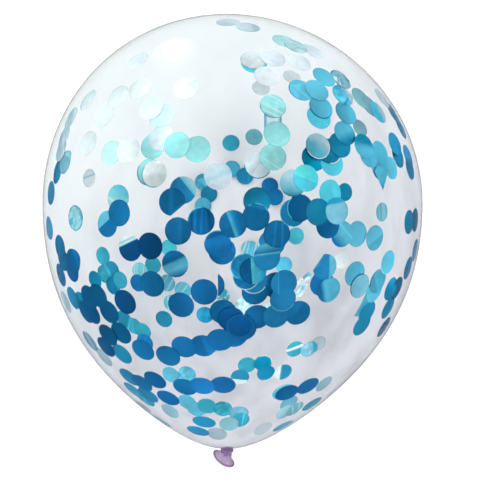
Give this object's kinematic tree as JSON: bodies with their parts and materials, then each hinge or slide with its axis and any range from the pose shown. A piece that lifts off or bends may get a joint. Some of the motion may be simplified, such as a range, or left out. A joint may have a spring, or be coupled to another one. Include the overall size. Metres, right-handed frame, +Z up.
{
  "type": "confetti balloon",
  "caption": "Clear latex party balloon, blown up and knotted, lying on its side, with round blue foil confetti sealed inside and clinging to the film.",
  "frame": {"origin": "on the surface that the balloon lies on, under the middle of its plan", "axes": "+Y along the balloon's long axis, from the knot towards the crown; +Z up, away from the flat spot that it rests on; +X across, away from the side that the mouth turns to"},
  "size_m": [0.28, 0.3388, 0.2778],
  "materials": {
    "clear_latex": "smooth, glossy, stretched thin and see-through",
    "mauve_latex": "unstretched latex at the knot and the mouth, satin and slightly see-through",
    "blue_foil": "metallised film, mirror-bright blue, lightly creased"
  },
  "bodies": {
    "root": {"balloon": "clear_latex"}
  },
  "joints": []
}
